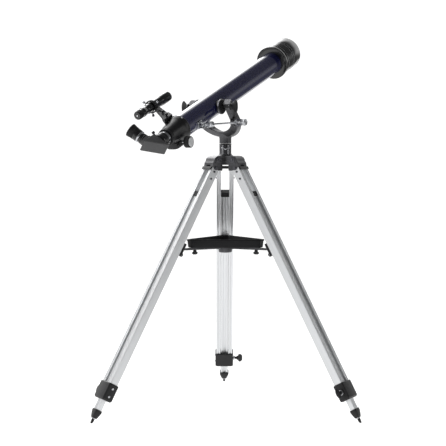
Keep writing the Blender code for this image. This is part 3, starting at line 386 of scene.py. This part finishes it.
def tripod():
    hub()
    refine("accessory_tray", "tripod", "tray", 0.7)
    refine("brace_spider", "tripod", "casting", 0.5)
    for side in (-1, 1):
        block("pillar_rib_%d" % (side + 1), (3.2, 2.4, 28.0),
              (side * 7.5, -PILLAR_R + 1.3, 742.0), FLAT, "tripod", "zinc", 0.6)
    lathe("pillar_seam_ring", [(PILLAR_R + 0.2, SEAM_Z - 3.2), (PILLAR_R + 0.9, SEAM_Z - 2.6),
          (PILLAR_R + 0.9, SEAM_Z - 1.2), (PILLAR_R + 0.2, SEAM_Z - 0.6)], FLAT, "tripod", "gloss")
    for leg, angle in LEGS:
        at = leg_frame(angle)
        own = "leg_" + leg
        alu = "alu_" + leg
        for which, side in (("a", -1), ("b", 1)):
            refine("rail_%s_%s" % (which, leg), "tripod", alu, 0.5)
            for n, s in enumerate(RAIL_SCREWS):
                spot = across(at, (side * LEG_W / 2, 0, s), side)
                screw("rail_screw_%s_%s_%d" % (which, leg, n), spot, 3.0, "tripod")
        refine("leg_cap_" + leg, "tripod", "black", 0.6)
        refine("brace_clip_" + leg, "tripod", "black", 0.8)
        refine("leg_clamp_" + leg, "tripod", "black", 1.0)
        for n, s in enumerate((CLAMP_S0 + CLAMP_MARGIN, CLAMP_S1 - CLAMP_MARGIN)):
            screw("clamp_screw_%s_%d" % (leg, n), across(at, (LEG_W / 2 + 3.0, 0, s), 1), 3.4,
                  "tripod", "chrome")
        pin = across(at, (-18.0, RAIL_D / 2 + CLIP_PIN, CLIP_S), 1)
        for side in (-1, 1):
            eyelet = across(at, (side * 13.0, RAIL_D / 2 + CLIP_PIN, CLIP_S), side)
            lathe("clip_eyelet_%s_%d" % (leg, side + 1), [(2.8, 0.0), (6.0, 0.0), (6.0, 3.2),
                  (5.2, 4.0), (2.8, 4.0)], eyelet, "tripod", "black", seg=36, closed=True)
        lathe("clip_pin_" + leg, [(2.2, 0), (2.6, 0.5), (2.6, 35.5), (2.2, 36)], pin, "tripod",
              "zinc", seg=28)
        spoke = radial_frame(angle)
        for side in (-1, 1):
            hinge = spoke @ move(LEG_TOP_R, side * 25.8, LEG_TOP_Z)
            hinge = hinge @ Matrix.Rotation(-side * math.pi / 2, 4, "X")
            lathe("hub_bolt_%s_%d" % (leg, side + 1), [(6.0, 0), (6.0, 0.9), (4.6, 1.0),
                  (4.6, 3.6), (4.0, 4.2)], hinge, "tripod", "dark", seg=36)
        screw("tray_bolt_" + leg, spoke @ move(NUT_R, 0, 468.9), 4.0, "tripod", "chrome")
        refine("inner_leg_" + leg, own, alu, 0.4)
        refine("foot_" + leg, own, "black", 0.7)
        block("leg_stop_" + leg, (SLIDE_W + 1.2, SLIDE_D + 5.2, 15.0),
              (0, 0, SLIDE_TOP - 7.2), at, own, "rubber", 1.2)
        lathe("foot_collar_" + leg, [(4.4, 13.0), (7.0, 13.4), (7.2, 15.2), (4.4, 15.4)], at, own,
              "zinc", seg=36, closed=True)
        bolt = across(at, (-(LEG_W / 2 + 3.3), 0, (CLAMP_S0 + CLAMP_S1) / 2), -1)
        wing("leg_lock_%s_paddle" % leg, bolt, 4.0, 15.0, 6.5, 15.5, 3.2, 14.0,
             "leg_lock_" + leg, "black", ("leg_lock_" + leg,))
        lathe("leg_lock_%s_nut" % leg, [(6.6, 1.0), (7.2, 1.6), (7.2, 4.4), (6.6, 5.0)], bolt,
              "leg_lock_" + leg, "zinc", seg=36)
        a = math.radians(angle)
        nut = aim((NUT_R * math.cos(a), NUT_R * math.sin(a), ARM_Z0 - GAP), (0, 0, -1),
                  (math.sin(a), -math.cos(a), 0))
        wing("tray_nut_%s_wing" % leg, nut, 3.5, 5.0, 5.0, 9.5, 2.0, 8.0, "tray_nut_" + leg,
             "black", ("tray_nut_" + leg,))
    lock = aim((0, -PILLAR_R - GAP, LOCK_Z), (0, -1, 0))
    wing("azimuth_lock_wing", lock, 3.0, 7.0, 5.0, 12.0, 2.4, 9.0, "azimuth_lock", "chrome",
         ("azimuth_lock",))
    for turn in (0.0, math.pi / 2):
        block("azimuth_lock_cross_%d" % round(math.degrees(turn)), (8.0, 2.2, 1.4), (0, 0, 15.6),
              lock @ Matrix.Rotation(turn, 4, "Z"), "azimuth_lock", "black", 0.3)


# ------------------------------------------------------------ mount head
def head():
    lean = math.radians(YOKE_LEAN)
    up = Vector((0, -math.sin(lean), math.cos(lean)))
    fore = Vector((0, math.cos(lean), math.sin(lean)))
    pivot = Vector((0, -PIVOT_BACK, PIVOT_Z))
    path = [(Vector((-1, 0)), y + YOKE_DROP, 0.0) for y in YOKE_RISES]
    steps = 48
    for i in range(steps + 1):
        a = math.pi + math.pi * i / steps
        path.append((Vector((math.cos(a), math.sin(a))), 0.0, -math.sin(a)))
    path += [(Vector((1, 0)), y + YOKE_DROP, 0.0) for y in YOKE_RISES[::-1]]
    rings = []
    for n, (out, rise, low) in enumerate(path):
        trim = 4.0 if n in (0, len(path) - 1) else 0.0
        depth = YOKE_DEPTH + YOKE_SWELL * low - trim
        fwd = (fore * (1 - low) + Vector((0, 1, 0)) * low).normalized()
        base = pivot - up * YOKE_DROP + up * rise
        plane = Vector((1, 0, 0)) * out.x + up * out.y
        ring = []
        for radius, back in ((YOKE_RI, 2), (YOKE_RI, depth - 2), (YOKE_RI + 2, depth),
                             (YOKE_RO - 3, depth), (YOKE_RO, depth - 3), (YOKE_RO, 3),
                             (YOKE_RO - 3, 0), (YOKE_RI + 2, 0)):
            ring.append(base + plane * radius + fwd * (back + trim / 2 * (back > 9)))
        rings.append(ring)
    loft("yoke_arch", rings, HEAD, "head", "casting", bevel=1.2, stands_for=("yoke",))
    lathe("yoke_neck", [(PILLAR_R, SEAM_Z + 0.1), (PILLAR_R, 774.0), (PILLAR_R + 1.5, 780.0),
          (PILLAR_R + 4.0, 788.0)], HEAD, "head", "casting")
    lathe("yoke_ear", [(12.0, 57.0), (12.0, YOKE_RO - 0.8), (11.2, YOKE_RO)],
          across(HEAD, (0, POST[1], POST[2])), "head", "casting")
    for side, label in ((1, "right"), (-1, "left")):
        at = across(HEAD, tuple(pivot), side)
        body = "altitude_knob_" + label
        stages = [oval(4.0, 4.0, YOKE_RI + 0.4), oval(4.0, 4.0, YOKE_RO + 0.3),
                  oval(9.0, 9.0, YOKE_RO + 0.5), oval(8.2, 8.2, YOKE_RO + 5.0),
                  oval(8.4, 5.6, YOKE_RO + 7.0), oval(13.0, 3.9, YOKE_RO + 11.0),
                  oval(17.6, 3.4, YOKE_RO + 15.0), oval(18.0, 3.2, YOKE_RO + 17.5),
                  oval(17.0, 3.0, YOKE_RO + 20.0), oval(13.0, 2.6, YOKE_RO + 22.2),
                  oval(9.5, 2.2, YOKE_RO + 23.0)]
        loft(body + "_wing", stages, at, body, "black", bevel=0.5, stands_for=(body,))
        lathe("knob_washer_" + label, [(6.0, YOKE_RO + 0.4), (10.5, YOKE_RO + 0.4),
              (10.5, YOKE_RO + 1.5), (6.0, YOKE_RO + 1.5)], at, body, "gunmetal", closed=True)
    refine("rod_post", "rod_post", "chrome", 0.5)
    knob = across(HEAD, POST)
    lathe("rod_lock_knob", [(3.0, 9.5), (3.0, 14.0), (8.5, 14.4), (9.5, 15.8), (9.5, 21.0),
          (8.5, 22.5), (6.0, 22.7), (5.2, 22.0)], knob, "rod_lock", "chrome", seg=144,
          ribs=(24, 0.5, 3, 4), stands_for=("rod_lock",))
    lathe("rod_bar", [(2.0, -5.0), (3.6, -4.2), (3.6, 4.5), (3.0, 5.5), (3.0, 9.0), (4.8, 9.4),
          (5.0, 10.8), (4.8, 12.0), (3.0, 12.6), (3.0, 20.0), (3.0, 44.0), (2.4, 48.0),
          (2.4, ROD_LENGTH + 23.0), (1.8, ROD_LENGTH + 24.0)], ROD, "rod", "chrome", seg=40,
          stands_for=("slow_motion_rod",))
    lathe("fine_nut_sleeve", [(6.0, 22.0), (7.6, 22.6), (8.2, 24.0), (8.2, 30.5), (7.4, 31.2),
          (7.4, 32.8), (8.2, 33.5), (8.2, 40.0), (7.6, 41.4), (6.0, 42.0), (3.3, 42.0),
          (3.3, 22.0)], ROD, "fine_nut", "chrome", seg=144, closed=True,
          ribs=(24, 0.45, 2, 3), stands_for=("fine_adjust_nut",))


# ------------------------------------------------------------ optical tube
def housing():
    """Tapered rear casting, the pinion box under it, and the box's side bushes and screws."""
    front = TUBE_S0 - GAP
    bore = DRAW_R + 1.0
    shell = [(bore, HOUSING[0][1])] + HOUSING
    shell += [(36.0, front - 1.0), (35.0, front), (bore, front)]
    lathe("housing_shell", shell, BORE, "tube", "satin", seg=128, closed=True,
          stands_for=("focuser_body",))
    at = TUBE @ move(0, PINION_S, 0)
    steps = 40
    rings = []
    for half_x, half_y, z in ((13.5, 17.5, -41.0), (16.2, 20.2, -40.4), (17.6, 21.6, -38.6),
                              (18.0, 22.0, -36.0), (18.0, 22.0, -24.0)):
        ring = []
        for i in range(steps):
            c = math.cos(2 * math.pi * i / steps)
            q = math.sin(2 * math.pi * i / steps)
            ring.append((half_x * math.copysign(abs(c) ** 0.5, c),
                         half_y * math.copysign(abs(q) ** 0.5, q), z))
        rings.append(ring)
    loft("pinion_box", rings, at, "tube", "satin", bevel=0.3)
    for side in (-1, 1):
        face = across(TUBE, (side * 17.6, PINION_S, PINION_U - 1.0), side)
        lathe("pinion_bush_%d" % (side + 1), [(8.6, 0.0), (8.6, 2.4), (8.0, 3.0), (3.0, 3.0),
              (3.0, 0.0)], face, "tube", "black", seg=48, closed=True)
        for n, along in enumerate((-14.0, 14.0)):
            screw("pinion_screw_%d_%d" % (side + 1, n), across(TUBE, (side * 17.9,
                  PINION_S + along, -31.0), side), 1.8, "tube", "dark")


def tube():
    r = TUBE_R
    inner = r - TUBE_WALL
    lathe("tube_barrel", [(r, TUBE_S0), (r, TUBE_S1), (inner, TUBE_S1), (inner, TUBE_S0)],
          BORE, "tube", "navy", seg=128, closed=True, stands_for=("main_tube",))
    c, cr = CAP_S0, CAP_R
    f = CAP_FLANGE_R
    shade = [(f - 1.5, c), (f - 0.5, c + 0.5), (f - 0.2, c + 1.8), (f - 0.2, c + 8.0),
             (f - 1.0, c + 9.4), (f - 2.5, c + 10.0), (cr, c + 12.0)]
    # each land ends in a groove, except the last, whose groove rows are dropped again
    for start, stop in CAP_LANDS:
        shade += [(cr, c + start + 0.4), (cr, c + stop - 0.6), (cr - 1.0, c + stop),
                  (cr - 1.0, c + stop + 2.0)]
    shade = shade[:-2] + [(cr - 0.1, c + 105.6), (cr - 1.5, CAP_S1 - 0.5), (cr - 3.5, CAP_S1 - 0.5),
                          (cr - 4.5, CAP_S1 - 2.0), (cr - 4.5, c + 34.0), (38.3, c + 33.0),
                          (38.3, TUBE_S1 + 1.0), (r + 0.3, TUBE_S1 + 1.0), (r + 0.3, c)]
    lathe("dew_shade", shade, BORE, "tube", "gloss", seg=128, closed=True,
          stands_for=("dew_cap",))
    for n, low in enumerate((25.2, 53.2, 63.2)):
        lathe("dew_ring_%d" % n, [(cr - 1.2, c + low), (cr - 0.3, c + low + 0.2),
              (cr - 0.3, c + low + 1.2), (cr - 1.2, c + low + 1.4)], BORE, "tube", "zinc",
              seg=128, closed=True)
    s = TUBE_S1 + 1.3
    lathe("lens_ring", [(38.0, s), (38.0, s + 19.0), (36.0, s + 20.0), (31.0, s + 20.0),
          (30.3, s + 18.0), (30.3, s + 5.0), (28.0, s + 4.0), (28.0, s)], BORE, "tube", "black",
          seg=96, closed=True, ribs=(48, 0.4, 1, 1), stands_for=("lens_cell",))
    lens = [(1.0, s + 6.2), (12.0, s + 6.3), (22.0, s + 6.6), (30.0, s + 7.4), (30.0, s + 13.0)]
    lens += [(30.0 * math.cos(t), s + 13.0 + 4.2 * math.sin(t)) for t in
             [math.radians(15 * i) for i in range(1, 6)]] + [(1.0, s + 17.2)]
    lathe("front_lens", lens, BORE, "tube", "glass", seg=96, stands_for=("objective_lens",))
    housing()
    lathe("housing_rim", [(36.1, -175.6), (36.5, -175.2), (36.5, -173.8), (36.1, -173.4)], BORE,
          "tube", "dark", seg=96)
    for n in range(3):
        at = turned(TUBE, 90.0 + 120.0 * n, (0, -178.0, 0)) @ move(0, 0, 35.9)
        screw("housing_screw_%d" % n, at, 2.4, "tube", "chrome")
    for side, label in ((1, "right"), (-1, "left")):
        refine("pivot_disc_" + label, "tube", "black", 0.5)
        lathe("pivot_rim_" + label, [(20.3, 36.4), (21.0, 36.8), (21.0, 40.2), (20.3, 40.6)],
              across(TUBE, (0, 0, 0), side), "tube", "gunmetal", closed=True)
    refine("rod_clevis", "tube", "chrome", 0.4)
    pin = TUBE @ move(CLEVIS[0], CLEVIS[1], CLEVIS[2] - 10.0)
    lathe("clevis_pin", [(2.9, 0), (3.2, 0.5), (3.2, 1.5), (1.6, 1.6), (1.6, 18.4), (3.2, 18.5),
          (3.2, 19.5), (2.9, 20.0)], pin, "tube", "chrome", seg=28)
    refine("finder_bracket", "tube", "dull", 0.7)
    turn = math.radians(FINDER_TURN)
    top = Vector((-FINDER_RHO * math.sin(turn) + RING_R - 2.5, RING_S,
                  FINDER_RHO * math.cos(turn) - 5.0))
    for n, share in enumerate((0.12, 0.44)):
        spot = Vector(BRACKET_ROOT).lerp(top, share)
        thumb("bracket_screw_%d" % n, TUBE @ move(*spot) @ move(0, 0, 7.2 - 7.0 * share), 1.6, 4.0,
              "tube", "black")
    for n, angle in enumerate((30.0, 150.0, 270.0)):
        at = FINDER @ move(0, 0, RING_S) @ Matrix.Rotation(math.radians(angle), 4, "Z")
        at = at @ Matrix.Rotation(math.pi / 2, 4, "Y") @ move(0, 0, RING_R + GAP)
        node = "finder_screw_%d" % (n + 1)
        thumb(node + "_head", at, 3.0, 3.4, node, "dark" if n == 1 else "chrome", (node,))


# ------------------------------------------------------------ focuser and eyepiece end
def focuser():
    lathe("draw_barrel", [(DRAW_RI, DRAW_S0 + 0.2), (DRAW_R, DRAW_S0 + 0.4), (DRAW_R, -120.0),
          (DRAW_RI, -120.0)], BORE, "drawtube", "chrome", seg=96, closed=True,
          stands_for=("drawtube",))
    rear = DRAW_S0 - COLLAR_LEN
    c = COLLAR_R
    lathe("draw_collar", [(DRAW_RI, rear), (c - 1.0, rear), (c, rear + 2.0), (c, rear + 5.0),
          (c - 0.8, rear + 5.6), (c - 0.8, rear + 7.0), (c, rear + 7.6), (c, DRAW_S0 - 7.6),
          (c - 0.8, DRAW_S0 - 7.0), (c - 0.8, DRAW_S0 - 5.6), (c, DRAW_S0 - 5.0),
          (c, DRAW_S0 - 1.4), (c - 0.9, DRAW_S0), (DRAW_RI, DRAW_S0)], BORE, "drawtube", "gloss",
          seg=96, closed=True)
    for n in range(RACK_TEETH):
        block("rack_tooth_%02d" % n, (5.0, 1.2, 1.2),
              (0, DRAW_S0 + 5.0 + RACK_PITCH * n, -18.9), TUBE, "drawtube", "zinc", 0.15)
    thumb("draw_screw_head", turned(TUBE, 30.0, (0, DRAW_SCREW_S, 0)) @ move(0, 0, COLLAR_R + GAP),
          4.0, 4.2, "drawtube_screw", "dark", ("drawtube_screw",))
    axle = across(TUBE, (0, PINION_S, PINION_U))
    lathe("pinion_shaft", [(2.6, -48.0), (2.6, -12.0), (6.6, -11.8), (6.6, 11.8), (2.6, 12.0),
          (2.6, 48.0)], axle, "focus", "chrome", seg=96, ribs=(12, 1.4, 2, 3),
          stands_for=("focus_shaft",))
    for side, label in ((1, "right"), (-1, "left")):
        at = across(TUBE, (0, PINION_S, PINION_U), side)
        k = KNOB_R
        lathe("focus_grip_" + label, [(9.0, 34.0), (k - 1, 34.8), (k, 36.0), (k, 49.5),
              (k - 0.8, 50.7), (k - 2.4, 51.0), (k - 2.8, 50.2)], at, "focus", "rubber", seg=240,
              ribs=(40, 0.6, 2, 3), stands_for=("focus_knob_" + label,))
        lathe("focus_cap_" + label, [(k - 3.0, 50.0), (k - 3.0, 51.4), (k - 4.0, 51.8),
              (k - 6.5, 51.3), (3.0, 51.2), (1.0, 51.5)], at, "focus", "bright", seg=96)


def eyepiece_end():
    refine("star_diagonal", "diagonal", "prism", 0.6)
    f, up, leg = DIAG_FACE, DIAG_UP, DIAG_LEG
    frame_d = turned(TUBE, DIAG_TURN, (0, 0, 0))
    for side in (-1, 1):
        corners = ((f, up), (f, up - leg), (f - 3.0, up - leg), (f - leg, up - 3.0), (f - leg, up))
        mid = (f - 17.0, up - 17.0)
        rings = []
        for x in (side * (DIAG_HALF - 2.2), side * (DIAG_HALF - 0.9)):
            rings.append([(x, mid[0] + (y - mid[0]) * 1.004, mid[1] + (z - mid[1]) * 1.004)
                          for y, z in corners])
        loft("diagonal_edge_%d" % (side + 1), rings, frame_d, "diagonal", "gloss", bevel=0.3)
    lathe("diagonal_nose_ring", [(16.3, DIAG_FACE - 1.0), (18.5, DIAG_FACE - 1.0),
          (18.5, DIAG_FACE + 0.6), (16.3, DIAG_FACE + 0.6)], BORE, "diagonal", "chrome", seg=72,
          closed=True)
    k = SOCKET_R
    lathe("socket_ring", [(k - 1.0, up + 8.4), (k, up + 9.0), (k, up + 11.6), (k - 1.0, up + 12.2)],
          EYE, "diagonal", "eye", seg=96, closed=True)
    side = EYE @ move(0, 0, up + 6.5) @ Matrix.Rotation(-math.pi / 2, 4, "X")
    thumb("diagonal_screw_head", side @ move(0, 0, k + GAP), 4.0, 4.2, "diagonal_screw",
          "gunmetal", ("diagonal_screw",))
    b = EYE_R
    lathe("eyepiece_barrel", [(b, up - 1.0), (b, up + 13.3), (b + 1.9, up + 13.4),
          (b + 2.4, up + 14.0), (b + 2.4, up + 16.4), (b + 1.6, up + 16.8), (b + 1.6, up + 20.4)],
          EYE, "eyepiece", "eye", seg=96, stands_for=("eyepiece",))
    lathe("eyepiece_band", [(b + 1.4, up + 20.2), (b + 3.8, up + 20.8), (b + 4.3, up + 21.6),
          (b + 4.3, up + 24.6), (b + 3.9, up + 25.2)], EYE, "eyepiece", "chrome", seg=96)
    body = [(b + 3.6, up + 25.2), (b + 4.3, up + 25.8)]
    for n in range(3):
        low = up + 26.0 + 2.2 * n
        body += [(b + 4.4, low), (b + 4.4, low + 1.2), (b + 3.8, low + 1.5), (b + 3.8, low + 2.0)]
    body += [(b + 4.4, up + 32.8), (b + 4.5, up + 36.6), (b + 3.9, up + 37.2)]
    lathe("eyepiece_body", body, EYE, "eyepiece", "eye", seg=96)
    lathe("eyepiece_grip", [(b + 3.9, up + 37.0), (b + 4.5, up + 37.6), (b + 4.7, up + 43.0),
          (b + 4.2, up + 43.6)], EYE, "eyepiece", "rubber", seg=240, ribs=(40, 0.6, 1, 2))
    lathe("eyepiece_cup", [(b + 4.2, up + 43.4), (b + 4.8, up + 44.4), (b + 5.4, up + 47.6),
          (b + 6.2, up + 51.4), (b + 6.3, up + 54.2), (b + 5.8, up + 55.0), (b + 4.6, up + 55.0),
          (b + 3.6, up + 53.0), (b + 1.6, up + 49.6), (b - 5.4, up + 48.8)], EYE, "eyepiece",
          "rubber", seg=96)
    lathe("eye_lens", [(b - 5.2, up + 48.9), (4.6, up + 49.6), (1.0, up + 50.0)], EYE, "eyepiece",
          "glass", seg=48)


def finder():
    a, b = FINDER_S0, FINDER_S1
    lathe("finder_barrel", [(9.0, a + 18.0), (11.0, a + 20.0), (11.0, a + 26.0), (12.6, a + 28.0),
          (12.6, a + 34.0), (11.4, a + 36.0), (11.4, a + 50.0), (12.0, a + 51.0),
          (13.0, a + 52.0), (13.0, b - 46.0), (14.4, b - 42.0), (14.4, b - 24.0), (13.9, b - 23.5),
          (13.9, b - 21.5), (14.4, b - 21.0), (14.4, b - 3.0), (13.8, b), (12.0, b),
          (11.6, b - 9.0), (4.0, b - 8.6)], FINDER, "finder", "gloss", seg=96,
          stands_for=("finder_scope",))
    lathe("finder_ocular", [(9.5, a + 1.0), (11.4, a + 2.6), (12.0, a + 5.0), (12.0, a + 17.6),
          (11.2, a + 19.0), (9.0, a + 20.0)], FINDER, "finder", "rubber", seg=192,
          ribs=(32, 0.7, 2, 3))
    lathe("finder_eye_face", [(9.6, a + 1.4), (9.0, a + 0.8), (4.2, a + 0.6), (3.4, a + 1.6)],
          FINDER, "finder", "gloss", seg=72)
    lathe("finder_eye_lens", [(3.2, a + 1.8), (2.4, a + 0.9), (0.8, a + 0.5)], FINDER, "finder",
          "white", seg=36)
    lathe("finder_front_lens", [(1.0, b - 4.0), (7.0, b - 4.4), (11.6, b - 5.6), (11.6, b - 7.4),
          (1.0, b - 7.6)], FINDER, "finder", "glass", seg=72)


# ------------------------------------------------------------ setting
def paper():
    """Matt paper that glows a little, so that the floor stays pale."""
    m = bpy.data.materials.new("pale paper")
    m.use_nodes = True
    sockets = m.node_tree.nodes["Principled BSDF"].inputs
    sockets["Base Color"].default_value = (PAPER, PAPER, PAPER, 1)
    sockets["Roughness"].default_value = PAPER_ROUGH
    sockets["Emission Color"].default_value = (1, 1, 1, 1)
    sockets["Emission Strength"].default_value = PAPER_GLOW
    return m


def sweep():
    """Pale floor that curves up into the backdrop."""
    bm = bmesh.new()
    line = [(SWEEP_FRONT, 0.0), (SWEEP_FLAT, 0.0)]
    for i in range(1, SWEEP_STEPS + 1):
        a = math.radians(90.0 * i / SWEEP_STEPS)
        line.append((SWEEP_FLAT + SWEEP_BEND * math.sin(a), SWEEP_BEND - SWEEP_BEND * math.cos(a)))
    line.append((SWEEP_FLAT + SWEEP_BEND, SWEEP_TOP))
    rows = [[bm.verts.new((x, y, z - SWEEP_DROP)) for y, z in line] for x in SWEEP_X]
    for i in range(len(line) - 1):
        bm.faces.new((rows[0][i], rows[1][i], rows[1][i + 1], rows[0][i + 1]))
    mesh = bpy.data.meshes.new("studio_sweep")
    bm.to_mesh(mesh)
    bm.free()
    mesh.shade_smooth()
    mesh.materials.append(paper())
    obj = bpy.data.objects.new("studio_sweep", mesh)
    bpy.context.scene.collection.objects.link(obj)


def lamp(name, place, power, width, height):
    data = bpy.data.lights.new(name, "AREA")
    data.energy = power
    data.shape = "RECTANGLE"
    data.size = width
    data.size_y = height
    obj = bpy.data.objects.new(name, data)
    bpy.context.scene.collection.objects.link(obj)
    obj.location = place
    obj.rotation_euler = (Vector(MIDDLE) - Vector(place)).to_track_quat("-Z", "Y").to_euler()


def studio_world():
    """Soft areas on a dim surround, placed by direction.

    box: high behind, toward the left. side: the left. rim: right and slightly behind.
    fill: low behind, above the horizon. The background itself is plain white.
    """
    world = bpy.data.worlds.new("studio")
    world.use_nodes = True
    nt = world.node_tree
    coords = nt.nodes.new("ShaderNodeTexCoord")
    split = nt.nodes.new("ShaderNodeSeparateXYZ")
    nt.links.new(coords.outputs["Generated"], split.inputs["Vector"])

    def op(kind, *sources):
        node = nt.nodes.new("ShaderNodeMath")
        node.operation = kind
        for i, source in enumerate(sources):
            if isinstance(source, float):
                node.inputs[i].default_value = source
            else:
                nt.links.new(source, node.inputs[i])
        return node.outputs[0]

    def step(source, edge, level=1.0):
        node = nt.nodes.new("ShaderNodeMapRange")
        node.interpolation_type = "SMOOTHSTEP"
        node.inputs["From Min"].default_value = edge[0]
        node.inputs["From Max"].default_value = edge[1]
        node.inputs["To Max"].default_value = level
        nt.links.new(source, node.inputs["Value"])
        return node.outputs["Result"]

    right, rear, up = split.outputs["X"], split.outputs["Y"], split.outputs["Z"]
    left = op("MULTIPLY", right, -1.0)
    down = op("MULTIPLY", up, -1.0)
    box = op("MULTIPLY", step(op("ADD", rear, up), BOX_EDGE, BOX), step(left, BOX_LEFT))
    rim = op("MULTIPLY", step(right, RIM_RIGHT, RIM), step(rear, RIM_REAR))
    fill = op("MULTIPLY", step(rear, FILL_REAR, FILL), step(down, FILL_TOP))
    fill = op("MULTIPLY", fill, step(up, FILL_FOOT))
    light = op("ADD", box, step(left, SIDE_EDGE, SIDE))
    light = op("ADD", op("ADD", light, rim), op("ADD", fill, DIM))
    seen = nt.nodes.new("ShaderNodeLightPath").outputs["Is Camera Ray"]
    background = nt.nodes["Background"].inputs
    nt.links.new(op("MAXIMUM", light, seen), background["Strength"])
    background["Color"].default_value = (1, 1, 1, 1)
    return world


def setting():
    sweep()
    for values in LAMPS:
        lamp(*values)
    scene = bpy.context.scene
    scene.world = studio_world()
    scene.view_settings.view_transform = "Standard"
    cam = bpy.data.cameras.new("camera")
    cam.sensor_width = SENSOR_MM
    cam.lens = LENS_MM
    obj = bpy.data.objects.new("camera", cam)
    scene.collection.objects.link(obj)
    obj.location = CAMERA_AT
    obj.rotation_euler = (math.pi / 2 - CAMERA_DOWN, 0.0, CAMERA_PAN)
    scene.camera = obj


tripod()
head()
tube()
focuser()
eyepiece_end()
finder()
setting()
